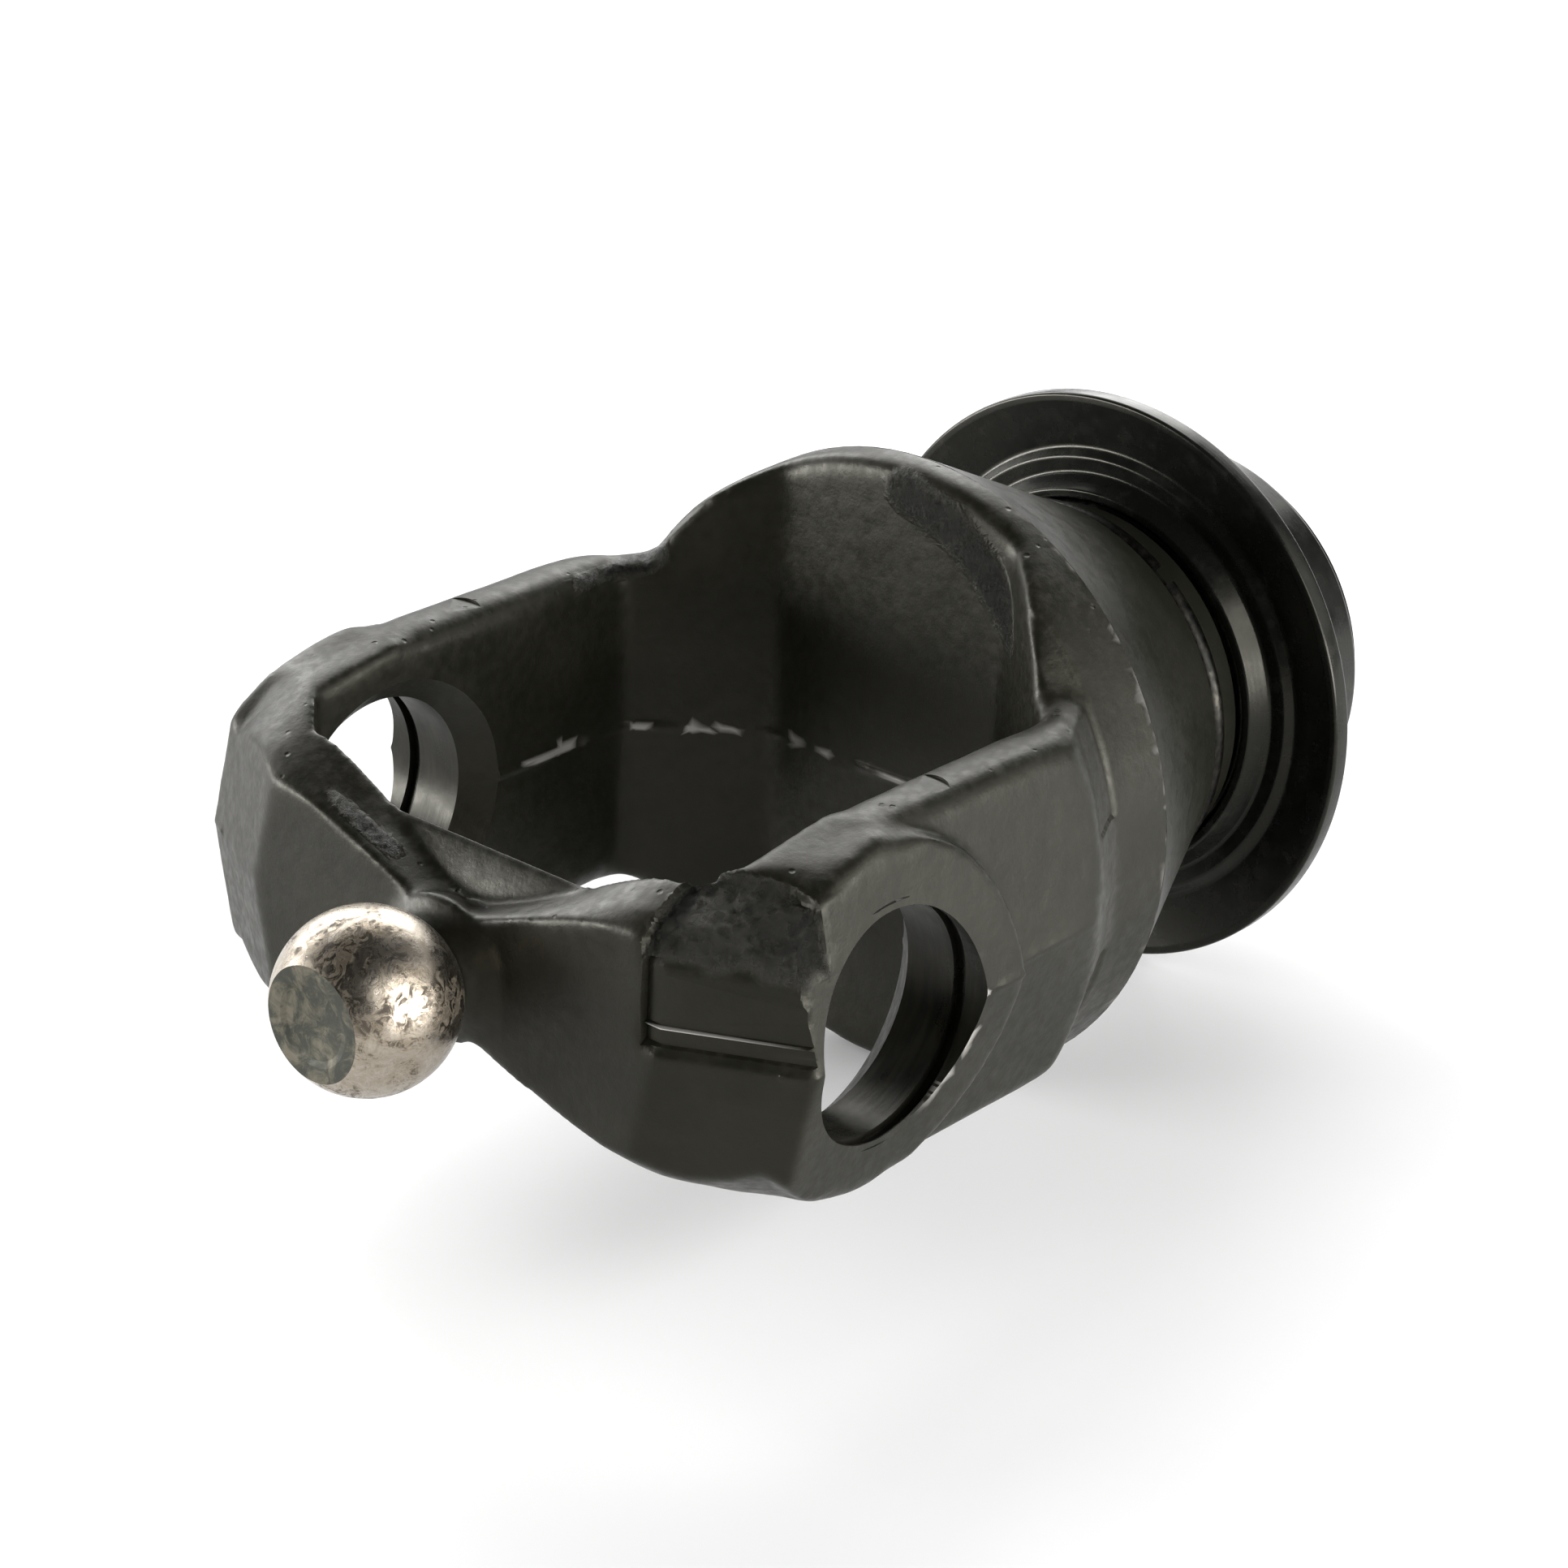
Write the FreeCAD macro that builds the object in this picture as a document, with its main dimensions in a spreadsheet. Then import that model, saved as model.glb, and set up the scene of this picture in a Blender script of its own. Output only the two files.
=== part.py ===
import FreeCAD
import Part
import Sketcher
import os

V = FreeCAD.Vector

# Wide-angle driveline yoke with a quick-release collar.
# Origin: where the cross (trunnion) axis meets the shaft axis.
# +X runs along the shaft towards the hub, +Y along the cross axis, +Z up.
# The forging is split at z = 0, so every forged wall leans away from that plane.

doc = FreeCAD.newDocument("wide_angle_yoke")
sheet = doc.addObject("Spreadsheet::Sheet", "dims")

SIZES = [
    # cross bores in the two ears
    ("bore_rad", 16.0),
    ("bore_sink_rad", 20.0),
    ("bore_sink_depth", 4.0),
    ("ring_groove_rad", 17.1),
    ("ring_groove_width", 2.0),
    ("ring_groove_face", 50.3),
    # forged ears and arms
    ("ear_face", 54.0),
    ("arm_face", 51.5),
    ("face_draft", 5.57),
    ("block_top", 25.3),
    ("boss_rad", 24.3),
    ("arm_step_start", 41.0),
    ("arm_step_end", 53.0),
    ("arm_rear", 60.0),
    ("edge_round", 3.5),
    ("notch_side", 33.3),
    ("notch_depth", 1.0),
    ("notch_floor", 0.6),
    ("notch_top", 22.0),
    # window between the arms
    ("window_front", -18.7),
    ("window_half", 36.7),
    ("window_corner", 4.5),
    ("window_rear", 59.0),
    ("window_rear_half", 20.0),
    ("window_turn", 45.5),
    ("window_draft", 1.5),
    # front of the bridge
    ("nose_front", -28.6),
    ("facet_end", -27.2),
    ("facet_half", 36.0),
    ("ear_front_run", 17.4),
    ("ear_front_rise", 34.0),
    ("ear_front_draft", 6.0),
    # hub disc, turned taper and neck
    ("disc_rad", 46.0),
    ("disc_front", 46.3),
    ("disc_front_round", 9.6),
    ("disc_rear", 64.9),
    ("taper_rear", 97.35),
    ("taper_rear_rad", 30.85),
    ("neck_rad", 27.8),
    ("neck_end", 106.5),
    ("hub_rad", 25.4),
    ("hub_end", 139.0),
    # six-tooth spline, 35 mm size
    ("spline_minor", 14.95),
    ("spline_major", 17.475),
    ("spline_space", 8.69),
    ("spline_mouth", 18.6),
    ("spline_bottom", 66.0),
    ("spline_relief", 3.0),
    # centring ball
    ("ball_x", -41.45),
    ("ball_rad", 12.3),
    ("ball_flat", -50.95),
    ("ball_dish_rad", 5.4),
    ("ball_dish_depth", 0.8),
    ("stem_rad", 6.3),
    ("shank_rad", 5.0),
    ("shank_end", -20.2),
    ("flare_rad", 10.4),
    ("flare_front", -31.4),
    # quick-release collar, shown where the spring holds it
    ("nose_x", 107.5),
    ("pocket_rad", 28.12),
    ("pocket_end", 118.5),
    ("land_rad", 25.46),
    ("land_end", 122.0),
    ("recess_rad", 27.35),
    ("recess_end", 131.2),
    ("collar_end", 134.0),
    ("sleeve_rad", 30.5),
    ("flange_rad", 43.5),
    ("flange_front", 109.2),
    ("flange_rear", 112.5),
    ("valley_x", 111.3),
    ("valley_rad", 34.2),
    # locking balls
    ("lock_x", 121.5),
    ("lock_ball_rad", 4.7625),
    ("lock_hole_rad", 4.84),
    ("lock_lip_rad", 4.4),
    ("lock_lip_top", 18.9),
    ("lock_centre", 19.66),
    # spring, stop ring, thrust washer and retaining ring
    ("spring_mean", 26.72),
    ("spring_wire", 0.9),
    ("spring_turns", 3.5),
    ("stop_ring_x", 100.3),
    ("stop_ring_mean", 28.35),
    ("stop_ring_wire", 1.6),
    ("washer_front", 134.05),
    ("washer_thick", 1.1),
    ("washer_rad", 29.2),
    ("clip_front", 135.2),
    ("clip_thick", 1.7),
    ("clip_rad", 28.0),
    ("clip_groove_rad", 24.0),
    ("clip_gap", 7.0),
    ("stop_ring_gap", 3.2),
    # small clearances between pieces, and overlaps between cutting tools
    ("slip", 0.05),
    ("hub_edge", 1.0),
    ("lock_lip_height", 1.5),
    ("lock_throat", 8.0),
    ("reach", 60.0),
]

for row, (alias, value) in enumerate(SIZES, start=1):
    sheet.set("A%d" % row, alias)
    sheet.set("B%d" % row, str(value))
    sheet.setAlias("B%d" % row, alias)
doc.recompute()


def size(alias):
    """A driving dimension, read from the sheet."""
    return float(sheet.get(alias))


def bind(obj, **expressions):
    """Bind properties of an object to sheet expressions."""
    for prop, text in expressions.items():
        obj.setExpression(prop.replace("__", "."), text)


PLANES = {
    "XY": FreeCAD.Rotation(V(0, 0, 1), 0),
    "XZ": FreeCAD.Rotation(V(1, 0, 0), 90),
    "YZ": FreeCAD.Rotation(V(1, 1, 1), 120),
}


def draw_polygon(sketch, corners):
    """Closed polygon; each corner is a pair of sheet expressions."""
    spots = [(float(sketch.evalExpression(u)), float(sketch.evalExpression(v)))
             for u, v in corners]
    count = len(spots)
    for i in range(count):
        a = spots[i]
        b = spots[(i + 1) % count]
        sketch.addGeometry(Part.LineSegment(V(a[0], a[1], 0), V(b[0], b[1], 0)), False)
    for i in range(count):
        sketch.addConstraint(Sketcher.Constraint("Coincident", i, 2, (i + 1) % count, 1))
    for i, ((u, v), (eu, ev)) in enumerate(zip(spots, corners)):
        for kind, value, text, axis in (("DistanceX", u, eu, -2), ("DistanceY", v, ev, -1)):
            if abs(value) < 1e-9:
                sketch.addConstraint(Sketcher.Constraint("PointOnObject", i, 1, axis))
                continue
            index = sketch.addConstraint(Sketcher.Constraint(kind, -1, 1, i, 1, value))
            sketch.setExpression("Constraints[%d]" % index, text)


def free_sketch(name, plane, corners, offset=None):
    """A sketch on a datum plane; offset moves it along the plane's normal axis."""
    sketch = doc.addObject("Sketcher::SketchObject", name)
    sketch.Placement = FreeCAD.Placement(V(0, 0, 0), PLANES[plane])
    if offset:
        axis = {"XY": "z", "XZ": "y", "YZ": "x"}[plane]
        sketch.setExpression("Placement.Base." + axis, offset)
    draw_polygon(sketch, corners)
    return sketch


def extrude(name, sketch, forward, backward, taper=None):
    """Solid extrusion of a sketch along its normal, both ways."""
    solid = doc.addObject("Part::Extrusion", name)
    solid.Base = sketch
    solid.DirMode = "Normal"
    solid.Solid = True
    bind(solid, LengthFwd=forward, LengthRev=backward)
    if taper:
        bind(solid, TaperAngle=taper, TaperAngleRev=taper)
    return solid


def cylinder(name, axis, radius, height, start):
    """Cylinder along a main axis, from start to start + height."""
    solid = doc.addObject("Part::Cylinder", name)
    turn = {"x": FreeCAD.Rotation(V(0, 1, 0), 90),
            "y": FreeCAD.Rotation(V(1, 0, 0), -90),
            "z": FreeCAD.Rotation()}[axis]
    solid.Placement = FreeCAD.Placement(V(0, 0, 0), turn)
    solid.setExpression("Placement.Base." + axis, start)
    bind(solid, Radius=radius, Height=height)
    return solid


def cone(name, axis, radius_a, radius_b, height, start):
    """Cone along a main axis, radius_a at start."""
    solid = doc.addObject("Part::Cone", name)
    turn = {"x": FreeCAD.Rotation(V(0, 1, 0), 90),
            "y": FreeCAD.Rotation(V(1, 0, 0), -90),
            "z": FreeCAD.Rotation()}[axis]
    solid.Placement = FreeCAD.Placement(V(0, 0, 0), turn)
    solid.setExpression("Placement.Base." + axis, start)
    bind(solid, Radius1=radius_a, Radius2=radius_b, Height=height)
    return solid


def fuse(name, parts):
    result = doc.addObject("Part::MultiFuse", name)
    result.Shapes = parts
    result.Refine = True
    return result


def common(name, a, b):
    result = doc.addObject("Part::Common", name)
    result.Base = a
    result.Tool = b
    return result


def cut(name, a, b):
    result = doc.addObject("Part::Cut", name)
    result.Base = a
    result.Tool = b
    return result


def revolve(name, corners):
    """Solid of revolution about X from a polygon of (x, radius) corners."""
    sketch = free_sketch(name + "_profile", "XZ", corners)
    solid = doc.addObject("Part::Revolution", name)
    solid.Source = sketch
    solid.Axis = V(1, 0, 0)
    solid.Base = V(0, 0, 0)
    solid.Angle = 360
    solid.Solid = True
    return solid


def round_edges(name, base, wanted, radius_alias):
    """Fillet the edges that the test picks out."""
    doc.recompute()
    radius = size(radius_alias) if isinstance(radius_alias, str) else radius_alias
    picks = [i + 1 for i, edge in enumerate(base.Shape.Edges) if wanted(edge)]
    result = doc.addObject("Part::Fillet", name)
    result.Base = base
    result.Edges = [(i, radius, radius) for i in picks]
    doc.recompute()
    return result


# ---------------------------------------------------------------- the forging

def bridge_and_ear_fronts():
    """Saddle-shaped bridge between the ears, lofted through upright sections.

    Each section gives heights above the split plane at four stations: the front
    edge, the shoulder, the window edge and the arm line.
    """
    stations = [
        # y, front x, front z, shoulder x, shoulder z, inner x, inner z, arm z
        (0.0, -32.0, 8.0, -24.0, 8.0, -18.7, 7.6, 7.6),
        (10.0, -32.0, 10.2, -24.0, 10.8, -18.7, 10.4, 10.4),
        (20.0, -32.0, 12.6, -25.0, 14.5, -18.7, 16.0, 18.0),
        (30.0, -32.0, 12.0, -25.0, 17.5, -18.0, 20.8, 24.6),
        (38.0, -32.0, 8.5, -23.0, 18.2, -14.5, 22.8, 25.3),
        (46.0, -28.0, 5.0, -20.0, 15.5, -11.0, 22.6, 25.3),
        (56.0, -22.0, 4.0, -17.0, 14.5, -9.5, 22.0, 25.3),
    ]
    sections = []
    order = [row for row in reversed(stations)] + stations[1:]
    for index, row in enumerate(order):
        y, fx, fz, sx, sz, ix, iz, az = row
        if index < len(stations) - 1:
            y = -y
        outline = [(fx, fz), (sx, sz), (ix, iz), (2.0, az)]
        corners = [(str(x), str(z)) for x, z in outline]
        corners += [(str(x), str(-z)) for x, z in reversed(outline)]
        sections.append(free_sketch("bridge_section_%02d" % index, "XZ", corners, str(y)))
    loft = doc.addObject("Part::Loft", "bridge_loft")
    loft.Sections = sections
    loft.Solid = True
    loft.Ruled = False
    return loft


def drafted_block(name, face, start, end):
    """Bar along X whose outer faces lean in by the forging draft."""
    top_face = "%s - dims.face_draft" % face
    corners = [
        (face, "0"),
        (top_face, "dims.block_top"),
        ("-(%s)" % top_face, "dims.block_top"),
        ("-(%s)" % face, "0"),
        ("-(%s)" % top_face, "-dims.block_top"),
        (top_face, "-dims.block_top"),
    ]
    sketch = free_sketch(name + "_section", "YZ", corners)
    return extrude(name, sketch, end, "-(%s)" % start)


def along_x(edge):
    """Test for a straight edge parallel to X on the top or bottom of the arms."""
    if edge.Curve.TypeId != "Part::GeomLine":
        return False
    high = abs(abs(edge.CenterOfMass.z) - size("block_top")) < 0.2
    return high and abs(edge.Curve.Direction.x) > 0.98


def ring_edge(x, radius):
    """Test for a full circle about X at one station and radius."""
    def wanted(edge):
        if edge.Curve.TypeId != "Part::GeomCircle":
            return False
        near = abs(edge.Curve.Center.x - x) < 0.05
        return near and abs(edge.Curve.Radius - radius) < 0.05
    return wanted


def turned_blank():
    """Disc, taper and hub, turned about X; the disc's front edge is well rounded."""
    turned = revolve("disc_and_hub", [
        ("dims.disc_front", "0"),
        ("dims.disc_front", "dims.disc_rad"),
        ("dims.disc_rear", "dims.disc_rad"),
        ("dims.taper_rear", "dims.taper_rear_rad"),
        ("dims.taper_rear", "dims.neck_rad"),
        ("dims.neck_end", "dims.neck_rad"),
        ("dims.neck_end", "dims.hub_rad"),
        ("dims.hub_end - dims.hub_edge", "dims.hub_rad"),
        ("dims.hub_end", "dims.hub_rad - dims.hub_edge"),
        ("dims.hub_end", "0"),
    ])
    front = ring_edge(size("disc_front"), size("disc_rad"))
    return round_edges("rounded_disc", turned, front, "disc_front_round")


def arms_and_hub(window):
    """The two arms running into the disc, with the window between them."""
    arm_bar = round_edges("rounded_arm_bar",
                          drafted_block("arm_bar", "dims.arm_face", "1", "dims.arm_rear"),
                          along_x, "edge_round")
    blend = revolve("arm_blend", [
        ("-10", "0"),
        ("-10", "dims.arm_face + 8"),
        ("dims.arm_step_start - 2", "dims.arm_face + 8"),
        ("dims.arm_step_start", "dims.arm_face + 0.8"),
        ("dims.arm_step_end", "dims.disc_rad"),
        ("dims.arm_rear", "dims.disc_rad"),
        ("dims.arm_rear", "0"),
    ])
    arms = common("arms", arm_bar, blend)
    solid = cut("arms_and_disc", fuse("arms_with_disc", [arms, turned_blank()]), window)
    return round_edges("rounded_arms", solid, window_rim, "edge_round")


def window_rim(edge):
    """Test for the window's rim: where its walls meet the arm tops and the disc."""
    spot = edge.CenterOfMass
    if abs(spot.z) < size("block_top") - 1 or edge.Length < 2:
        return False
    inner = abs(spot.y) < size("window_half") + 2
    faces_up = abs(abs(spot.z) - size("block_top")) < 0.3 and 5 < spot.x < 44
    return inner and faces_up and abs(abs(spot.y) - size("window_half")) < 1.5


def ears_and_bridge(window):
    """Bridge and ear bosses, with the front of the window cut out."""
    ear_bar = round_edges("rounded_ear_bar",
                          drafted_block("ear_bar", "dims.ear_face", "-40", "40"),
                          along_x, "edge_round")
    front = common("bridge", bridge_and_ear_fronts(), ear_bar)
    boss_bar = cylinder("boss_bar", "y", "dims.boss_rad", "2 * dims.reach", "-dims.reach")
    bosses = common("ear_bosses", boss_bar, drafted_block("boss_limit", "dims.ear_face",
                                                          "-40", "40"))
    return cut("ears_and_bridge", fuse("ears_with_bridge", [front, bosses]), window)


def window_tool():
    """Opening between the arms, leaning out from the split plane."""
    plan = free_sketch("window_plan", "XY", [
        ("dims.window_front", "-(dims.window_half - dims.window_corner)"),
        ("dims.window_front + dims.window_corner", "-dims.window_half"),
        ("dims.window_turn", "-dims.window_half"),
        ("dims.window_rear", "-dims.window_rear_half"),
        ("dims.window_rear", "dims.window_rear_half"),
        ("dims.window_turn", "dims.window_half"),
        ("dims.window_front + dims.window_corner", "dims.window_half"),
        ("dims.window_front", "dims.window_half - dims.window_corner"),
    ])
    return extrude("window", plan, "dims.reach", "dims.reach", "dims.window_draft")


def front_tools():
    """Flat cuts on the bridge front and the drafted fronts of the ears."""
    reach = "dims.reach"
    facets = free_sketch("facet_plan", "XY", [
        ("-80", "-80"),
        ("dims.facet_end", "-80"),
        ("dims.facet_end", "-dims.facet_half"),
        ("dims.nose_front", "0"),
        ("dims.facet_end", "dims.facet_half"),
        ("dims.facet_end", "80"),
        ("-80", "80"),
    ])
    tools = [extrude("facets", facets, reach, reach)]
    for name, side in (("near", "-1"), ("far", "1")):
        end_x = "dims.facet_end + dims.ear_front_run"
        end_y = "%s * (dims.facet_half + dims.ear_front_rise)" % side
        slope = "(dims.ear_front_run / dims.ear_front_rise)"
        start_x = "dims.facet_end - 20 * %s" % slope
        start_y = "%s * (dims.facet_half - 20)" % side
        corners = [(start_x, start_y), (end_x, end_y), ("-90", end_y), ("-90", start_y)]
        if side == "-1":
            corners.reverse()
        plan = free_sketch("ear_front_plan_" + name, "XY", corners)
        tools.append(extrude("ear_front_" + name, plan, reach, reach, "dims.ear_front_draft"))
    return tools


def bore_tools():
    """Bearing-cap bores, their retaining grooves and the mouths of the bores."""
    tools = [cylinder("cross_bore", "y", "dims.bore_rad", "160", "-80")]
    for name, side in (("near", "-1"), ("far", "1")):
        groove_start = "%s * dims.ring_groove_face" % side
        if side == "1":
            groove_start = "dims.ring_groove_face - dims.ring_groove_width"
        tools.append(cylinder("ring_groove_" + name, "y", "dims.ring_groove_rad",
                              "dims.ring_groove_width", groove_start))
        if side == "1":
            tools.append(cone("sink_" + name, "y", "dims.bore_sink_rad + 4", "dims.bore_rad",
                              "dims.bore_sink_depth + 4", "dims.window_half - 4"))
        else:
            tools.append(cone("sink_" + name, "y", "dims.bore_rad", "dims.bore_sink_rad + 4",
                              "dims.bore_sink_depth + 4",
                              "-(dims.window_half + dims.bore_sink_depth)"))
    return tools


def spline_tool():
    """Six-space spline in the hub; its bottom is closed by the wall behind the window."""
    spaces = []
    for index in range(3):
        space = doc.addObject("Part::Box", "spline_space_%d" % index)
        bind(space, Length="dims.hub_end", Width="dims.spline_space", Height="dims.reach")
        turn = FreeCAD.Rotation(V(1, 0, 0), 60 * index)
        corner = turn.multVec(V(0, -size("spline_space") / 2, -size("reach") / 2))
        space.Placement = FreeCAD.Placement(V(50, corner.y, corner.z), turn)
        spaces.append(space)
    star = fuse("spline_star", spaces)
    depth = "dims.hub_end - dims.spline_bottom"
    major = cylinder("spline_major_bar", "x", "dims.spline_major", depth,
                     "dims.spline_bottom")
    minor = cylinder("spline_minor_bar", "x", "dims.spline_minor", depth,
                     "dims.spline_bottom")
    relief = cylinder("spline_relief_bar", "x", "dims.spline_major", "dims.spline_relief",
                      "dims.spline_bottom")
    mouth = cone("spline_mouth_cone", "x", "dims.spline_minor", "dims.spline_mouth + 1",
                 "dims.spline_mouth + 1 - dims.spline_minor",
                 "dims.hub_end - (dims.spline_mouth - dims.spline_minor)")
    return fuse("spline", [common("spline_spaces", star, major), minor, relief, mouth])


LOCK_ANGLES = (90, 210, 330)


def radial_placement(angle, radius):
    """Placement whose Z axis points out of the hub at the locking-ball station."""
    turn = FreeCAD.Rotation(V(1, 0, 0), angle - 90)
    spot = turn.multVec(V(0, 0, radius))
    return FreeCAD.Placement(V(size("lock_x"), spot.y, spot.z), turn)


def lock_hole_tools():
    """Radial holes that hold the locking balls, each with a narrowed inner lip."""
    tools = []
    for index, angle in enumerate(LOCK_ANGLES):
        bar = doc.addObject("Part::Cylinder", "lock_hole_%d" % index)
        bind(bar, Radius="dims.lock_hole_rad", Height="dims.hub_rad")
        bar.Placement = radial_placement(angle, size("lock_lip_top"))
        lip = doc.addObject("Part::Cone", "lock_lip_%d" % index)
        bind(lip, Radius1="dims.lock_lip_rad", Radius2="dims.lock_hole_rad",
             Height="dims.lock_lip_height")
        lip_foot = size("lock_lip_top") - size("lock_lip_height")
        lip.Placement = radial_placement(angle, lip_foot)
        throat = doc.addObject("Part::Cylinder", "lock_throat_%d" % index)
        bind(throat, Radius="dims.lock_lip_rad", Height="dims.lock_throat")
        throat.Placement = radial_placement(angle, lip_foot - size("lock_throat") + size("slip"))
        tools += [bar, lip, throat]
    return tools


def notch_tool():
    """Shallow die notch in the front face of the near ear only."""
    slope = "(dims.ear_front_run / dims.ear_front_rise)"
    floor_x = "dims.facet_end + dims.notch_depth"
    outer_x = floor_x + " + dims.reach / 2 * " + slope
    outer_y = "-(dims.facet_half + dims.reach / 2)"
    corners = [
        (floor_x, "-dims.notch_side"),
        ("dims.facet_end - dims.reach / 4", "-dims.notch_side"),
        ("dims.facet_end - dims.reach / 4", outer_y),
        (outer_x, outer_y),
        (floor_x, "-dims.facet_half"),
    ]
    plan = free_sketch("notch_plan", "XY", corners)
    return extrude("notch", plan, "dims.notch_top", "-dims.notch_floor",
                   "-dims.ear_front_draft")


def make_yoke():
    """Forged and machined yoke, with the flared seat of the centring ball."""
    window = window_tool()
    blank = fuse("yoke_blank", [ears_and_bridge(window), arms_and_hub(window)])
    front = fuse("front_cuts", front_tools() + [notch_tool()])
    trimmed = cut("trimmed_blank", blank, front)
    flare = revolve("ball_seat_flare", [
        ("dims.nose_front + 4", "0"),
        ("dims.nose_front + 4", "dims.flare_rad - 1.5"),
        ("dims.nose_front", "dims.flare_rad"),
        ("dims.nose_front - 0.5", "dims.flare_rad - 1.2"),
        ("dims.nose_front - 1.2", "dims.flare_rad - 2.4"),
        ("dims.nose_front - 2.0", "dims.flare_rad - 3.3"),
        ("dims.flare_front", "dims.stem_rad + 0.5"),
        ("dims.flare_front", "0"),
    ])
    body = fuse("yoke_with_seat", [trimmed, flare])
    stop_groove = doc.addObject("Part::Torus", "stop_ring_groove")
    bind(stop_groove, Radius1="dims.stop_ring_mean", Radius2="dims.stop_ring_wire")
    stop_groove.Placement = FreeCAD.Placement(V(size("stop_ring_x"), 0, 0),
                                              FreeCAD.Rotation(V(0, 1, 0), 90))
    clip_groove = cut("clip_groove",
                      cylinder("clip_groove_bar", "x", "dims.hub_rad + 5",
                               "dims.clip_thick + 2 * dims.slip",
                               "dims.clip_front - dims.slip"),
                      cylinder("clip_groove_core", "x", "dims.clip_groove_rad",
                               "dims.clip_thick + 2", "dims.clip_front - 1"))
    shank = cylinder("shank_hole", "x", "dims.shank_rad", "dims.shank_end - (-40)", "-40")
    tools = [spline_tool(), stop_groove, clip_groove, shank]
    tools += bore_tools()
    tools += lock_hole_tools()
    yoke = cut("yoke", body, fuse("yoke_cuts", tools))
    return yoke


# ------------------------------------------------------------- turned pieces

def turned_body(name, corners):
    """PartDesign body turned about X from a polygon of (x, radius) corners."""
    body = doc.addObject("PartDesign::Body", name)
    plane = [f for f in body.Origin.OriginFeatures if f.Role == "XZ_Plane"][0]
    sketch = body.newObject("Sketcher::SketchObject", name + "_profile")
    sketch.AttachmentSupport = [(plane, "")]
    sketch.MapMode = "FlatFace"
    doc.recompute()
    draw_polygon(sketch, corners)
    doc.recompute()
    turn = body.newObject("PartDesign::Revolution", name + "_turn")
    turn.Profile = sketch
    turn.ReferenceAxis = (sketch, ["H_Axis"])
    turn.Angle = 360
    doc.recompute()
    return body


def round_body(body, name, base, picks, radius):
    """PartDesign fillet on the circles at the given stations."""
    edges = []
    for x, r in picks:
        wanted = ring_edge(x, r)
        for index, edge in enumerate(base.Shape.Edges):
            if wanted(edge):
                edges.append("Edge%d" % (index + 1))
    fillet = body.newObject("PartDesign::Fillet", name)
    fillet.Base = (base, edges)
    fillet.Radius = radius
    doc.recompute()
    return fillet


def make_collar():
    """Sliding release collar: nose, dished flange, sleeve and ball recess."""
    body = turned_body("release_collar", [
        ("dims.nose_x", "dims.pocket_rad"),
        ("dims.nose_x", "dims.pocket_rad + 0.7"),
        ("dims.valley_x", "dims.valley_rad - 1.2"),
        ("dims.valley_x", "dims.valley_rad"),
        ("dims.flange_front", "dims.flange_rad - 1.0"),
        ("dims.flange_front", "dims.flange_rad"),
        ("dims.flange_rear", "dims.flange_rad"),
        ("dims.flange_rear + 1.8", "dims.sleeve_rad + 2.5"),
        ("dims.flange_rear + 3.5", "dims.sleeve_rad"),
        ("dims.collar_end - 1", "dims.sleeve_rad"),
        ("dims.collar_end", "dims.sleeve_rad - 1"),
        ("dims.collar_end", "dims.land_rad + 0.4"),
        ("dims.collar_end - 0.4", "dims.land_rad"),
        ("dims.recess_end", "dims.land_rad"),
        ("dims.recess_end", "dims.recess_rad"),
        ("dims.land_end + (dims.recess_rad - dims.land_rad)", "dims.recess_rad"),
        ("dims.land_end", "dims.land_rad"),
        ("dims.pocket_end", "dims.land_rad"),
        ("dims.pocket_end", "dims.pocket_rad"),
    ])
    base = body.Tip
    round_body(body, "collar_rounds", base,
               [(size("flange_rear"), size("flange_rad")),
                (size("flange_front"), size("flange_rad"))], 0.35)
    return body


def make_ball():
    """Hardened centring ball on its shank, with a dished front flat."""
    ball = doc.addObject("Part::Sphere", "ball_sphere")
    bind(ball, Radius="dims.ball_rad")
    ball.setExpression("Placement.Base.x", "dims.ball_x")
    stem = cylinder("ball_stem", "x", "dims.stem_rad", "dims.flare_front - dims.ball_x",
                    "dims.ball_x")
    shank = cylinder("ball_shank", "x", "dims.shank_rad", "dims.shank_end - dims.ball_x",
                     "dims.ball_x")
    front = cylinder("ball_front_cut", "x", "dims.ball_rad", "dims.ball_flat - (-60)", "-60")
    dish = cone("ball_dish", "x", "dims.ball_dish_rad", "dims.ball_dish_rad * 0.62",
                "dims.ball_dish_depth", "dims.ball_flat")
    ring = cut("ball_ring_groove",
               cylinder("ball_ring_outer", "x", "dims.ball_dish_rad + 1.3",
                        "dims.ball_dish_depth * 0.4", "dims.ball_flat"),
               cylinder("ball_ring_inner", "x", "dims.ball_dish_rad + 0.8", "2",
                        "dims.ball_flat - 0.5"))
    solid = fuse("ball_and_shank", [ball, stem, shank])
    return cut("centring_ball", solid, fuse("ball_cuts", [front, dish, ring]))


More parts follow.
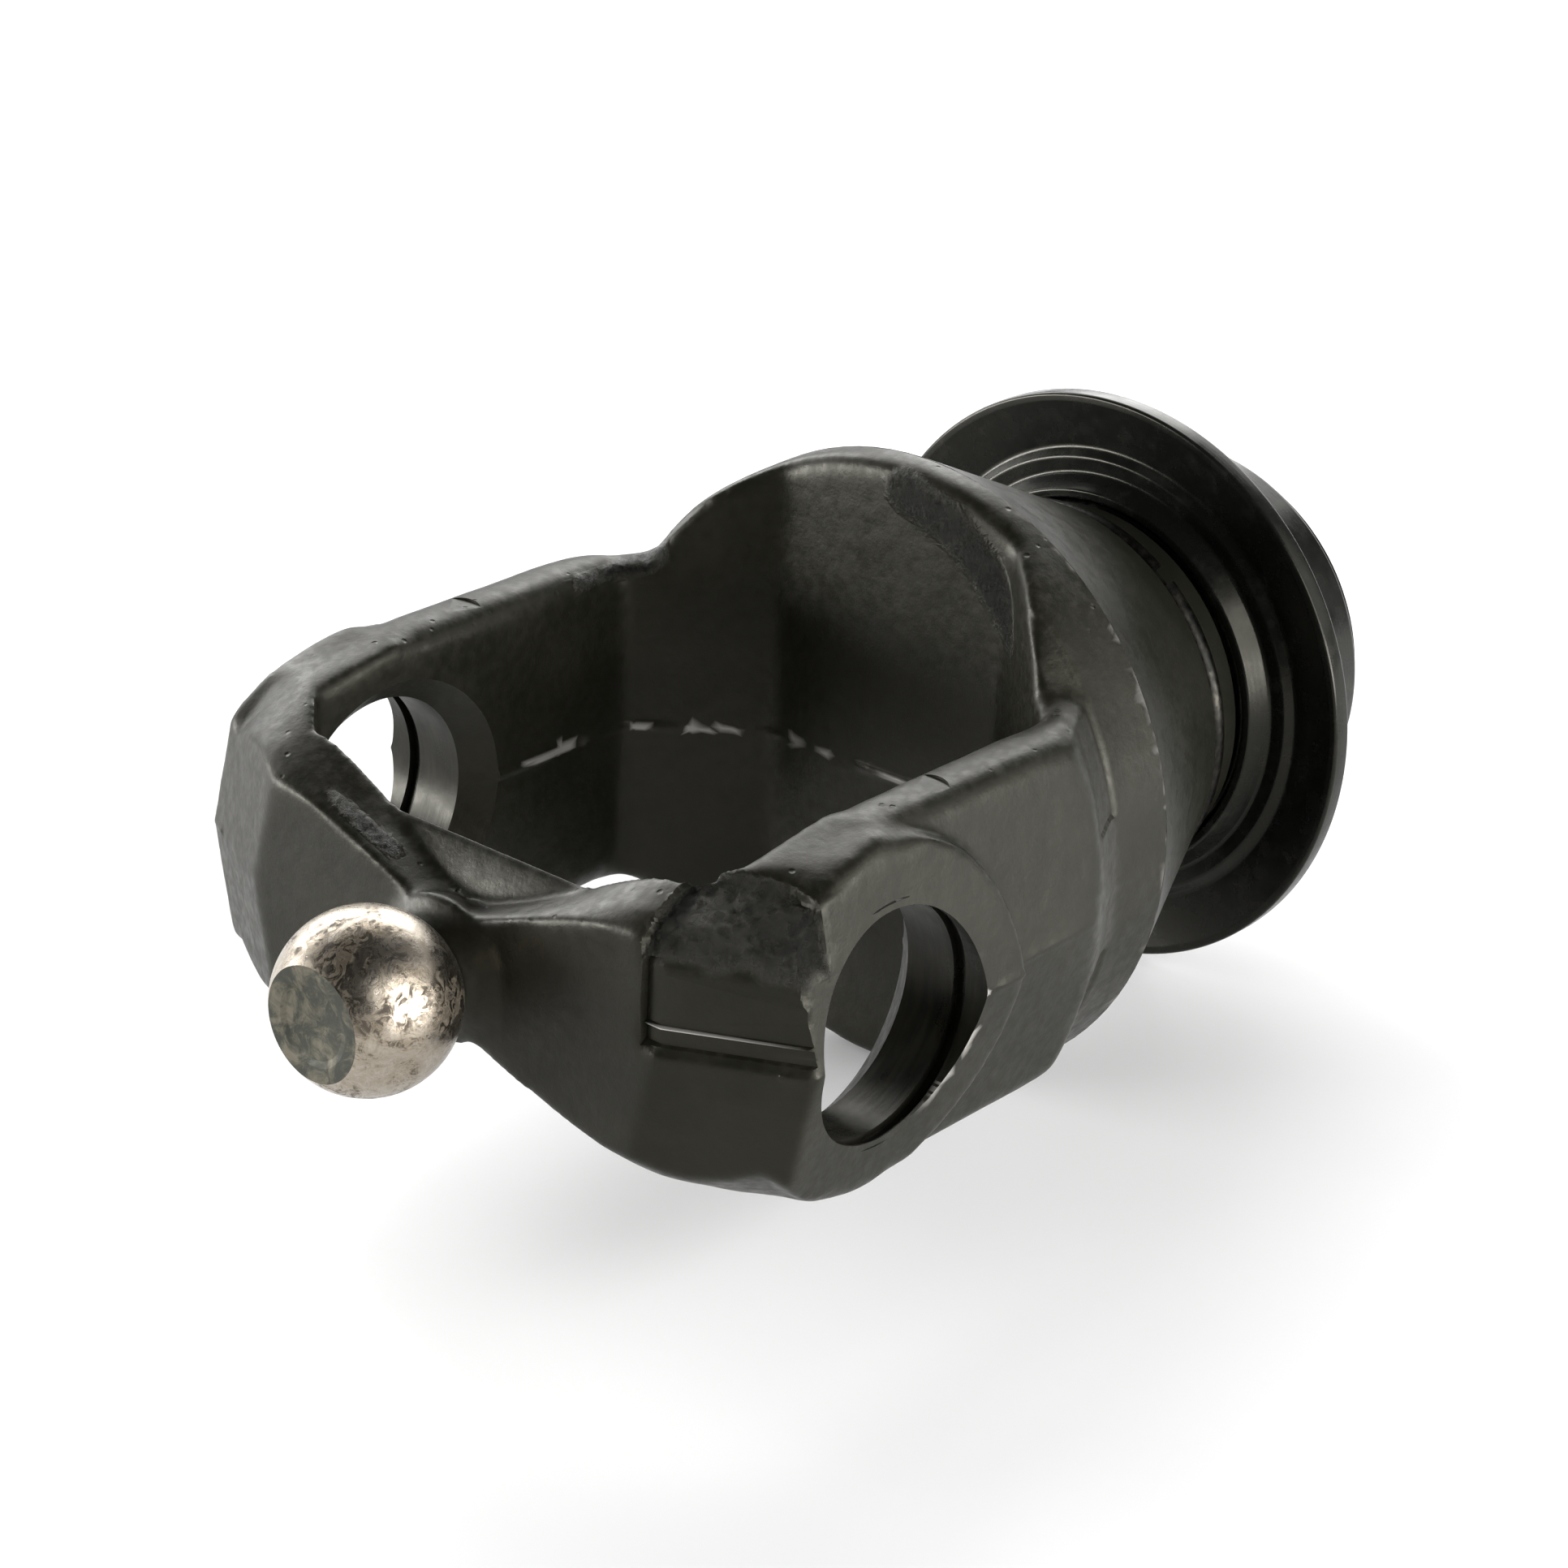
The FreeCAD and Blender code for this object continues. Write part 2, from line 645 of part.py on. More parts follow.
def make_spring():
    """Return spring round the hub, inside the collar's pocket."""
    length = "(dims.pocket_end - dims.neck_end - 2 * (dims.spring_wire + dims.slip))"
    helix = doc.addObject("Part::Helix", "spring_line")
    bind(helix, Radius="dims.spring_mean", Height=length, Pitch=length + " / dims.spring_turns")
    section = doc.addObject("Part::Circle", "spring_section")
    bind(section, Radius="dims.spring_wire")
    section.Placement = FreeCAD.Placement(V(0, 0, 0), FreeCAD.Rotation(V(1, 0, 0), 90))
    section.setExpression("Placement.Base.x", "dims.spring_mean")
    doc.recompute()
    spring = doc.addObject("Part::Sweep", "return_spring")
    spring.Sections = [section]
    spring.Spine = (helix, ["Edge%d" % (i + 1) for i in range(len(helix.Shape.Edges))])
    spring.Solid = True
    spring.Frenet = False
    spring.Placement = FreeCAD.Placement(V(0, 0, 0), FreeCAD.Rotation(V(0, 1, 0), 90))
    spring.setExpression("Placement.Base.x", "dims.neck_end + dims.spring_wire + dims.slip")
    return spring


def make_stop_ring():
    """Split wire ring in the neck groove that stops the collar."""
    ring = doc.addObject("Part::Torus", "stop_ring_full")
    bind(ring, Radius1="dims.stop_ring_mean", Radius2="dims.stop_ring_wire - 0.4 * dims.slip")
    ring.Placement = FreeCAD.Placement(V(size("stop_ring_x"), 0, 0),
                                       FreeCAD.Rotation(V(0, 1, 0), 90))
    gap = doc.addObject("Part::Box", "stop_ring_gap")
    bind(gap, Length="8", Width="dims.stop_ring_gap", Height="dims.reach")
    turn = FreeCAD.Rotation(V(1, 0, 0), 36)
    corner = turn.multVec(V(0, -size("stop_ring_gap") / 2, 0))
    gap.Placement = FreeCAD.Placement(V(size("stop_ring_x") - 4, corner.y, corner.z), turn)
    return cut("stop_ring", ring, gap)


def make_washer():
    """Thrust washer behind the collar."""
    outer = cylinder("washer_outer", "x", "dims.washer_rad", "dims.washer_thick",
                     "dims.washer_front")
    inner = cylinder("washer_inner", "x", "dims.hub_rad + 3 * dims.slip", "dims.washer_thick + 2",
                     "dims.washer_front - 1")
    return cut("thrust_washer", outer, inner)


def make_clip():
    """Retaining ring with two eyes, in the groove at the hub's end."""
    outer = cylinder("clip_outer", "x", "dims.clip_rad", "dims.clip_thick", "dims.clip_front")
    inner = cylinder("clip_inner", "x", "dims.clip_groove_rad + dims.slip", "dims.clip_thick + 2",
                     "dims.clip_front - 1")
    gap = doc.addObject("Part::Box", "clip_gap")
    bind(gap, Length="6", Width="dims.clip_gap", Height="40")
    gap.Placement = FreeCAD.Placement(V(size("clip_front") - 2, -size("clip_gap") / 2, -40),
                                      FreeCAD.Rotation())
    return cut("retaining_ring", outer, fuse("clip_cuts", [inner, gap]))


def make_lock_balls():
    """Three locking balls, resting in the shaft's groove position."""
    balls = []
    for index, angle in enumerate(LOCK_ANGLES):
        ball = doc.addObject("Part::Sphere", "lock_ball_%d" % (index + 1))
        bind(ball, Radius="dims.lock_ball_rad")
        ball.Placement = radial_placement(angle, size("lock_centre"))
        balls.append(ball)
    return balls


pieces = {
    "yoke": make_yoke(),
    "centring_ball": make_ball(),
    "release_collar": make_collar(),
    "return_spring": make_spring(),
    "stop_ring": make_stop_ring(),
    "thrust_washer": make_washer(),
    "retaining_ring": make_clip(),
}
for index, ball in enumerate(make_lock_balls(), start=1):
    pieces["lock_ball_%d" % index] = ball

doc.recompute()

for obj in doc.Objects:
    if "Invalid" in obj.State or "Error" in obj.State:
        raise RuntimeError("failed feature: " + obj.Name)

os.makedirs("parts", exist_ok=True)
for label, piece in pieces.items():
    shape = piece.Shape
    if shape.isNull() or not shape.isValid():
        raise RuntimeError("bad solid: " + label)
    piece.Label = label
    shape.exportStep("parts/" + label + ".step")
    box = shape.optimalBoundingBox(False, True)
    print("%-16s solids %d  volume %9.0f  x %.1f..%.1f  y %.1f..%.1f  z %.1f..%.1f" % (
        label, len(shape.Solids), shape.Volume, box.XMin, box.XMax, box.YMin, box.YMax,
        box.ZMin, box.ZMax))
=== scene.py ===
import math

import bmesh
import bpy
import numpy as np
from mathutils import Matrix, Vector


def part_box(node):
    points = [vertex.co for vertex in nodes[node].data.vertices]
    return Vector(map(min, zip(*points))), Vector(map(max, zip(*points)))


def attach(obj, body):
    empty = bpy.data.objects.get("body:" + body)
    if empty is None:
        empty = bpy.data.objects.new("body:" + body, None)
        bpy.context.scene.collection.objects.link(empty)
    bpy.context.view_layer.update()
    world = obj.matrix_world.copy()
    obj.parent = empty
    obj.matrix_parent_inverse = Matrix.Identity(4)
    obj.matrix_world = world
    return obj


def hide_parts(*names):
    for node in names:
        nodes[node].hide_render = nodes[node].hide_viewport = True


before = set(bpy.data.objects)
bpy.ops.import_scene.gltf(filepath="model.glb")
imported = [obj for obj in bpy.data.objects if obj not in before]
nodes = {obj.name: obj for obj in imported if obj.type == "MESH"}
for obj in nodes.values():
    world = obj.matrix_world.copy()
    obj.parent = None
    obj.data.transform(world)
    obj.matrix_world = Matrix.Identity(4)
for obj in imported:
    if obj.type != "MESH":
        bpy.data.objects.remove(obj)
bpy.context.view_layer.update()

MM = 0.001

# Driving sizes of the part, in millimetres; x runs along the shaft, y along the cross.
BORE_RAD = 16.0
EAR_FACE = 54.0
FACE_SLOPE = 0.0975 / 0.4434          # lean of the ears' outer faces, per mm of height
BLOCK_TOP = 25.3
WINDOW_HALF = 36.7
WALL_SLOPE = 0.0262                   # lean of the window's walls, per mm of height
WINDOW_REAR = 61.0
BORE_SINK_DEPTH = 4.0
BORE_SINK_RAD = 20.0
GROOVE_RAD = 17.1
GROOVE_SPAN = (48.3, 50.3)
DISC_RAD = 46.0
DISC_REAR = 64.9
FACET_END = -27.2
FACET_HALF = 36.0
FRONT_SLOPE = 17.4 / 34               # the ear fronts' run in x for each mm of y
NOTCH_SIDE = 33.3
NOTCH_BOTTOM = 0.8
NOTCH_TOP = 22.0
BALL_X = -41.45
BALL_RAD = 12.3
NECK_RAD = 6.2
SHANK_RAD = 5.0
SEAT_X = -28.9

PAINT_IOR = 1.3
PAINT_TINT = (1.0, 0.97, 0.82)        # the paint's sheen is a little warm


# ------------------------------------------------------------------ helpers

def link(obj):
    bpy.context.scene.collection.objects.link(obj)
    return obj


def mesh_object(name, verts, faces):
    """New mesh object from millimetre vertices."""
    mesh = bpy.data.meshes.new(name)
    mesh.from_pydata([Vector(v) * MM for v in verts], [], faces)
    mesh.validate()
    return link(bpy.data.objects.new(name, mesh))


def delete(obj):
    bpy.data.objects.remove(obj, do_unlink=True)


def recalc(obj):
    """Merge doubled vertices and turn every face outwards."""
    bm = bmesh.new()
    bm.from_mesh(obj.data)
    bmesh.ops.remove_doubles(bm, verts=bm.verts, dist=1e-7)
    bmesh.ops.recalc_face_normals(bm, faces=bm.faces)
    bm.to_mesh(obj.data)
    bm.free()


def apply_modifiers(obj):
    graph = bpy.context.evaluated_depsgraph_get()
    mesh = bpy.data.meshes.new_from_object(obj.evaluated_get(graph))
    obj.modifiers.clear()
    obj.data = mesh


def boolean(obj, tool, operation):
    """Boolean with a tool that is used up by it."""
    step = obj.modifiers.new("boolean", "BOOLEAN")
    step.solver = "MANIFOLD"
    step.operation = operation
    step.object = tool
    apply_modifiers(obj)
    delete(tool)
    if len(obj.data.polygons) == 0:
        raise RuntimeError("boolean left nothing of " + obj.name)


def lathe(name, profile, segments=192):
    """Solid turned about X from (x, radius) points in mm; a ring if no radius is 0."""
    closed = profile[0][1] > 0
    verts = []
    rings = []
    for x, radius in profile:
        if radius == 0:
            rings.append([len(verts)])
            verts.append((x, 0, 0))
            continue
        ring = []
        for k in range(segments):
            a = 2 * math.pi * k / segments
            ring.append(len(verts))
            verts.append((x, radius * math.sin(a), radius * math.cos(a)))
        rings.append(ring)
    faces = []
    pairs = list(zip(rings[:-1], rings[1:]))
    if closed:
        pairs.append((rings[-1], rings[0]))
    for ring_a, ring_b in pairs:
        for k in range(segments):
            n = (k + 1) % segments
            if len(ring_a) == 1:
                faces.append((ring_a[0], ring_b[k], ring_b[n]))
            elif len(ring_b) == 1:
                faces.append((ring_a[k], ring_b[0], ring_a[n]))
            else:
                faces.append((ring_a[k], ring_b[k], ring_b[n], ring_a[n]))
    obj = mesh_object(name, verts, faces)
    recalc(obj)
    return obj


def triangulate(obj, corners):
    """Split every face with more than the given number of corners into triangles."""
    bm = bmesh.new()
    bm.from_mesh(obj.data)
    bmesh.ops.triangulate(bm, faces=[f for f in bm.faces if len(f.verts) > corners])
    bm.to_mesh(obj.data)
    bm.free()


def rounded(points, radii, steps=6, ring=False):
    """Polygon with its corners rounded; radii is one radius per point, 0 for sharp."""
    result = []
    count = len(points)
    for i, (point, radius) in enumerate(zip(points, radii)):
        end = not ring and i in (0, count - 1)
        if radius == 0 or end:
            result.append(point)
            continue
        here = Vector(point)
        before = Vector(points[i - 1]) - here
        after = Vector(points[(i + 1) % count]) - here
        half = before.angle(after) / 2
        reach = min(radius / math.tan(half), before.length * 0.48, after.length * 0.48)
        radius = reach * math.tan(half)
        start = here + before.normalized() * reach
        stop = here + after.normalized() * reach
        centre = here + (before.normalized() + after.normalized()).normalized() * (
            radius / math.sin(half))
        arm_a = start - centre
        arm_b = stop - centre
        turn = arm_a.angle_signed(arm_b)
        for k in range(steps + 1):
            spot = centre + Matrix.Rotation(-turn * k / steps, 2) @ arm_a
            result.append((spot.x, spot.y))
    return result


def smooth_by_angle(obj, degrees):
    """Smooth shading with crisp edges where faces meet at more than the angle."""
    bm = bmesh.new()
    bm.from_mesh(obj.data)
    limit = math.radians(degrees)
    for face in bm.faces:
        face.smooth = True
    for edge in bm.edges:
        edge.smooth = len(edge.link_faces) == 2 and edge.calc_face_angle(0) < limit
    bm.to_mesh(obj.data)
    bm.free()


NOISE_CELLS = 48                      # cells before the noise repeats


def lattice_noise(points, scale, seed):
    """Smooth value noise in -1..1 at the given points; scale is its cell size in mm."""
    size = NOISE_CELLS
    table = np.random.default_rng(seed).uniform(-1, 1, (size, size, size)).astype(np.float32)
    p = points / scale + 1000.0       # kept positive, so that floor and modulo behave
    base = np.floor(p).astype(np.int64)
    f = (p - base).astype(np.float32)
    f = f * f * (3 - 2 * f)
    total = np.zeros(len(points), np.float32)
    for dx in (0, 1):
        wx = f[:, 0] if dx else 1 - f[:, 0]
        for dy in (0, 1):
            wy = f[:, 1] if dy else 1 - f[:, 1]
            for dz in (0, 1):
                wz = f[:, 2] if dz else 1 - f[:, 2]
                i = (base + (dx, dy, dz)) % size
                total += wx * wy * wz * table[i[:, 0], i[:, 1], i[:, 2]]
    return total


def read_points(mesh):
    co = np.zeros(len(mesh.vertices) * 3, np.float32)
    mesh.vertices.foreach_get("co", co)
    return co.reshape(-1, 3).astype(np.float64) / MM


def write_points(mesh, points):
    mesh.vertices.foreach_set("co", (points * MM).astype(np.float32).ravel())
    mesh.update()


def read_normals(mesh):
    nn = np.zeros(len(mesh.vertices) * 3, np.float32)
    mesh.vertices.foreach_get("normal", nn)
    return nn.reshape(-1, 3)


def step01(value, low, high):
    """0 below low, 1 above high, smooth between."""
    f = np.clip((value - low) / (high - low), 0, 1)
    return f * f * (3 - 2 * f)


def relax(points, edges, weight, rounds):
    """Weighted neighbour averaging on a mesh."""
    count = len(points)
    a = edges[:, 0]
    b = edges[:, 1]
    degree = np.bincount(a, minlength=count) + np.bincount(b, minlength=count)
    degree = np.maximum(degree, 1)
    for _ in range(rounds):
        for axis in range(3):
            c = points[:, axis]
            total = np.bincount(a, c[b], count) + np.bincount(b, c[a], count)
            points[:, axis] += weight * (total / degree - c)
    return points


# ------------------------------------------------------------- camera, light

# The camera's place and aim in mm, its roll in degrees and its lens for a 36 mm sensor.
CAMERA_AT = (-389.36, -356.93, 254.21)
CAMERA_AIM = (40.52, 1.842, 3.528)
CAMERA_ROLL = -2.493
CAMERA_LENS = 101.87
SENSOR = 36


def make_camera():
    data = bpy.data.cameras.new("camera")
    data.lens = CAMERA_LENS
    data.sensor_width = SENSOR
    data.clip_start = 0.01
    data.clip_end = 20
    cam = link(bpy.data.objects.new("camera", data))
    place = Vector(CAMERA_AT) * MM
    look = (Vector(CAMERA_AIM) * MM - place).to_track_quat("-Z", "Y")
    cam.matrix_world = (Matrix.Translation(place) @ look.to_matrix().to_4x4()
                        @ Matrix.Rotation(math.radians(-CAMERA_ROLL), 4, "Z"))
    bpy.context.scene.camera = cam


# Soft panels round the object: name, place, width, height in metres, power in watts.
SOFT_PANELS = (
    ("back_top", (0.9, 1.0, 0.95), 1.6, 1.2, 24.0),
    ("back_right", (1.4, 0.5, 0.6), 1.2, 0.9, 10.8),
    ("back_left", (0.3, 1.5, 0.6), 1.2, 0.9, 17.0),
    ("right", (0.9, -1.0, 0.6), 1.0, 0.8, 4.0),
    ("front_right", (-0.1, -1.3, 0.6), 1.0, 0.8, 18.0),
    ("front_right_low", (0.3, -1.1, 0.12), 1.0, 0.3, 18.0),
    ("left_low", (-0.8, 1.0, 0.12), 1.0, 0.3, 27.0),
)
PANEL_AIM = (0.03, 0, 0)
WORLD_GLOW = 0.03
FLOOR_HALF = 6.0                       # metres
FLOOR_WHITE = 0.86
FLOOR_ROUGH = 0.9
FLOOR_GAP = 0.15                       # mm between the floor and the disc's rim
REST_TILT = math.radians(3.1)          # it stands on the disc's rim and the collar's flange


def area_light(name, place, width, height, power):
    data = bpy.data.lights.new(name, "AREA")
    data.shape = "RECTANGLE"
    data.size = width
    data.size_y = height
    data.energy = power
    lamp = link(bpy.data.objects.new(name, data))
    lamp.location = place
    towards = Vector(PANEL_AIM) - Vector(place)
    lamp.rotation_euler = towards.to_track_quat("-Z", "Y").to_euler()


def make_floor():
    bm = bmesh.new()
    bmesh.ops.create_grid(bm, x_segments=8, y_segments=8, size=FLOOR_HALF)
    mesh = bpy.data.meshes.new("floor")
    bm.to_mesh(mesh)
    bm.free()
    floor = link(bpy.data.objects.new("floor", mesh))
    floor.location = Vector((DISC_REAR, 0, -(DISC_RAD + FLOOR_GAP))) * MM
    floor.rotation_euler = (0, -REST_TILT, 0)
    mat = bpy.data.materials.new("floor")
    mat.use_nodes = True
    shader = mat.node_tree.nodes["Principled BSDF"]
    shader.inputs["Base Color"].default_value = (FLOOR_WHITE, FLOOR_WHITE, FLOOR_WHITE, 1)
    shader.inputs["Roughness"].default_value = FLOOR_ROUGH
    mesh.materials.append(mat)


def make_stage():
    """Pale floor, faint even glow and soft panels behind and beside the object."""
    make_floor()
    world = bpy.data.worlds.new("studio")
    bpy.context.scene.world = world
    world.use_nodes = True
    back = world.node_tree.nodes["Background"]
    back.inputs["Color"].default_value = (1, 1, 1, 1)
    back.inputs["Strength"].default_value = WORLD_GLOW
    for panel in SOFT_PANELS:
        area_light(*panel)
    bpy.context.scene.view_settings.view_transform = "Standard"


make_camera()
make_stage()


# --------------------------------------------------------------- the forging

VOXEL = 0.5                            # mm, of the soft blank
KEEP_FACES = 0.35                      # share of its faces that stay after thinning
PLUG_SKIN = 0.02                       # mm that a plug stays inside the ear's faces


def ear_plug(side):
    """Fills a bearing bore and its countersink, flush with the ear's faces."""
    outer = GROOVE_RAD + 0.3
    inner = BORE_SINK_RAD + 0.6
    count = 96
    verts = [(0, side * EAR_FACE, 0), (0, side * WINDOW_HALF, 0)]
    for k in range(count):
        a = 2 * math.pi * k / count
        x = outer * math.cos(a)
        z = outer * math.sin(a)
        verts.append((x, side * (EAR_FACE - FACE_SLOPE * abs(z) - PLUG_SKIN), z))
        x = inner * math.cos(a)
        z = inner * math.sin(a)
        verts.append((x, side * (WINDOW_HALF + WALL_SLOPE * abs(z) + PLUG_SKIN), z))
    faces = []
    for k in range(count):
        a = 2 + 2 * k
        b = 2 + 2 * ((k + 1) % count)
        faces += [(0, a, b), (1, b + 1, a + 1), (a, a + 1, b + 1, b)]
    plug = mesh_object("plug", verts, faces)
    recalc(plug)
    return plug


def blank_for_forging():
    """The CAD yoke with its bores filled and its disc carried on rearwards."""
    blank = link(bpy.data.objects.new("blank", nodes["yoke"].data.copy()))
    recalc(blank)
    extension = [(60.5, 0), (60.5, 40), (63, DISC_RAD), (76, DISC_RAD), (76, 0)]
    extras = [ear_plug(-1), ear_plug(1), lathe("extension", extension)]
    with bpy.context.temp_override(active_object=blank, selected_editable_objects=[blank]
                                   + extras):
        bpy.ops.object.join()
    step = blank.modifiers.new("remesh", "REMESH")
    step.mode = "VOXEL"
    step.voxel_size = VOXEL * MM
    apply_modifiers(blank)
    return blank


def near_line(points, line, reach):
    """1 on a polyline (mm), falling to 0 at reach from it."""
    best = np.full(len(points), 1e9)
    for start, stop in zip(line[:-1], line[1:]):
        start = np.array(start, float)
        along = np.array(stop, float) - start
        t = np.clip((points - start) @ along / (along @ along), 0, 1)
        gap = np.linalg.norm(points - start - t[:, None] * along, axis=1)
        best = np.minimum(best, gap)
    return 1 - step01(best, reach * 0.55, reach)


# Chipped corner where the notch meets the near ear's outer face.
NOTCH_CORNER = [(-18.3, -53.2, 9), (-18.0, -52.0, 14), (-17.3, -50.6, 20.5)]
# Strips ground after forging and painted over, rough and glossy: line and reach in mm.
GROUND_STRIPS = (
    ([(60, -1, 42.5), (60.3, -9, 40), (60.5, -15, 36), (60.5, -20, 31), (60, -24, 26.5)], 3.2),
    ([(38, 36.5, 25), (46, 36.5, 25.3), (53, 34.5, 26.5)], 2.6),
    ([(-25.6, 26.5, 18.5), (-25.4, 22, 16.3), (-25.2, 17, 13.6), (-25, 12, 11.4)], 1.3),
    ([(-22.5, -34, 20.5), (-19.5, -42, 20.5), (-15, -51, 18.5)], 1.8),
)


def notch_mask(p):
    """1 inside the die notch of the near ear's front."""
    x, y, z = p.T
    soft = 0.3
    front = 1 - step01(x, -13.5, -12.5)
    across = step01(-y, NOTCH_SIDE - soft, NOTCH_SIDE + soft)
    up = step01(z, NOTCH_BOTTOM - soft, NOTCH_BOTTOM + soft)
    ragged = 0.6 * lattice_noise(p, 2.3, 11)
    down = 1 - step01(z + ragged, NOTCH_TOP - 0.5, NOTCH_TOP + 0.5)
    return front * across * up * down


def ground_mask(p):
    """How far the surface is rough from grinding or from the notch, 0 to 1."""
    mask = np.zeros(len(p))
    ragged = 1 + 0.35 * lattice_noise(p, 1.9, 12)
    for line, reach in GROUND_STRIPS:
        mask = np.maximum(mask, near_line(p, line, reach * 1.15) * ragged)
    rough_part = notch_mask(p) * step01(p[:, 2] + 1.2 * lattice_noise(p, 3, 13), 11, 14)
    return np.clip(np.maximum(mask, rough_part), 0, 1)


# Waviness of the forged skin: height in mm, cell size in mm, seed.
SKIN = ((0.045, 9.0, 1), (0.035, 3.1, 2), (0.018, 1.5, 3))
GROUND_GRAIN = ((0.2, 1.1, 5), (0.16, 0.7, 6))
FLASH_HALF = 0.55                      # mm, half width of the flash line at the die split
FLASH_INSIDE = 0.4
FLASH_OUTSIDE = 0.22
NOTCH_EXTRA = 1.2                      # mm that the notch's torn upper part is deeper
CREASE = 0.35                          # mm, crease where the arms' shoulders meet the disc


def forge(points, normals):
    """Moves the soft blank's points to the surface that the dies and the grinder left."""
    x, y, z = points.T
    shift = sum(height * lattice_noise(points, cell, seed) for height, cell, seed in SKIN)
    inside = (np.abs(y) < 38.5) & (x > -20) & (x < 60.5) & (np.abs(normals[:, 2]) < 0.5)
    broken = step01(lattice_noise(points * (1, 1, 0.2), 7.0, 4), -0.35, 0.3)
    flash = np.exp(-(z / FLASH_HALF) ** 2) * broken * (x > -20) * (x < 63)
    shift += np.where(inside, FLASH_INSIDE, FLASH_OUTSIDE) * flash
    shift -= NOTCH_EXTRA * notch_mask(points) * step01(z, 11.5, 15.5)
    ground = np.maximum(ground_mask(points), near_line(points, NOTCH_CORNER, 2.2))
    shift += ground * sum(height * lattice_noise(points, cell, seed)
                          for height, cell, seed in GROUND_GRAIN)
    crease = step01(np.hypot(y, z), 43.5, 45) * step01(x, 44, 48) * (1 - step01(x, 53.4, 54.2))
    crease = crease * (1 - step01(np.abs(z), 30, 42)) * (np.abs(z) > 10)
    shift -= CREASE * crease
    return points + normals * shift[:, None]


def soften(mesh):
    """Points of the blank rounded as forging leaves it, most at the disc and the ear tops."""
    points = read_points(mesh)
    edges = np.zeros(len(mesh.edges) * 2, np.int32)
    mesh.edges.foreach_get("vertices", edges)
    edges = edges.reshape(-1, 2)
    x, y, z = points.T.copy()
    relax(points, edges, 0.5, 10)
    rim = step01(np.abs(z), 20, 26) * step01(x, 34, 42) * (1 - step01(x, 66, 70))
    rim = np.maximum(rim, step01(x, 38, 44) * (1 - step01(x, 60, 64)) * 0.7)
    front = (np.abs(z) > 21) * step01(x, -16, -12) * (1 - step01(x, 4, 8))
    rim = np.maximum(rim, 0.8 * front)
    return relax(points, edges, 0.6 * rim, 40)


def make_yoke():
    """The painted forging with its turned hub and machined bores, as one closed mesh."""
    yoke = blank_for_forging()
    mesh = yoke.data
    points = soften(mesh)
    write_points(mesh, points)
    write_points(mesh, forge(points, read_normals(mesh)))
    step = yoke.modifiers.new("decimate", "DECIMATE")
    step.ratio = KEEP_FACES
    apply_modifiers(yoke)
    boolean(yoke, notch_tool(), "DIFFERENCE")
    front = lathe("front_side", [(-60, 0), (-60, 150), (DISC_REAR, 150), (DISC_REAR, 0)])
    boolean(yoke, front, "INTERSECT")
    boolean(yoke, turned_hub(), "UNION")
    for side in (-1, 1):
        boolean(yoke, bore_tool(side), "DIFFERENCE")
        boolean(yoke, punch_tool(side), "DIFFERENCE")
    smooth_by_angle(yoke, 32)
    yoke.name = "yoke_forging"
    return yoke


NOTCH_DEPTH = 1.25
# The notch's smooth lower part: mm behind its floor, and height; a thin ledge crosses it.
NOTCH_SECTION = [(0.5, 13.0), (0, 12.0), (0, 4.1), (-0.5, 3.85), (-0.5, 3.7), (0, 3.5), (0, 1.5),
                 (-1.5, 0.6), (-30, 0.6), (-30, 13.0)]


def notch_tool():
    """Cutter for the smooth lower part of the die notch in the near ear's front."""
    floor_x = FACET_END + NOTCH_DEPTH
    reach = 30
    plan = [(floor_x, -NOTCH_SIDE), (floor_x, -FACET_HALF),
            (floor_x + FRONT_SLOPE * reach, -FACET_HALF - reach)]
    verts = [(x + back, y, z) for x, y in plan for back, z in NOTCH_SECTION]
    count = len(NOTCH_SECTION)
    faces = []
    for row in range(len(plan) - 1):
        for k in range(count):
            n = (k + 1) % count
            a = row * count
            faces.append((a + k, a + n, a + count + n, a + count + k))
    faces.append(tuple(range(count)))
    last = (len(plan) - 1) * count
    faces.append(tuple(range(last, last + count)))
    tool = mesh_object("notch_tool", verts, faces)
    triangulate(tool, 3)
    recalc(tool)
    return tool


PUNCH_AT = (14.8, 41.3, BLOCK_TOP - 0.1)
PUNCH_RAD = 4.4


def punch_tool(side):
    """Cutter for the crescent left on an arm's top by a round ejector pin."""
    tool = lathe("punch", [(0, 0), (0, PUNCH_RAD), (3, PUNCH_RAD), (3, 0)], 64)
    lean = Matrix.Rotation(math.radians(3.5), 4, "Y")
    upright = Matrix.Rotation(math.radians(-90), 4, "Y")
    place = Matrix.Translation(Vector((PUNCH_AT[0], side * PUNCH_AT[1], PUNCH_AT[2])) * MM)
    tool.data.transform(place @ lean @ upright)
    recalc(tool)
    return tool


def turned_hub():
    """Taper, neck and splined hub: the CAD yoke behind the disc, with a root into the disc."""
    hub = link(bpy.data.objects.new("hub", nodes["yoke"].data.copy()))
    recalc(hub)
    bm = bmesh.new()
    bm.from_mesh(hub.data)
    everything = bm.verts[:] + bm.edges[:] + bm.faces[:]
    bmesh.ops.bisect_plane(bm, geom=everything, dist=1e-7,
                           plane_co=((DISC_REAR + 0.03) * MM, 0, 0), plane_no=(-1, 0, 0),
                           clear_outer=True)
    rim = [e for e in bm.edges if e.is_boundary]
    bmesh.ops.contextual_create(bm, geom=rim)
    bm.to_mesh(hub.data)
    bm.free()
    triangulate(hub, 4)
    recalc(hub)
    root_rad = DISC_RAD - 3
    root = lathe("root", [(61.5, 0), (61.5, root_rad), (65.6, root_rad), (65.6, 0)])
    boolean(hub, root, "UNION")
    return hub


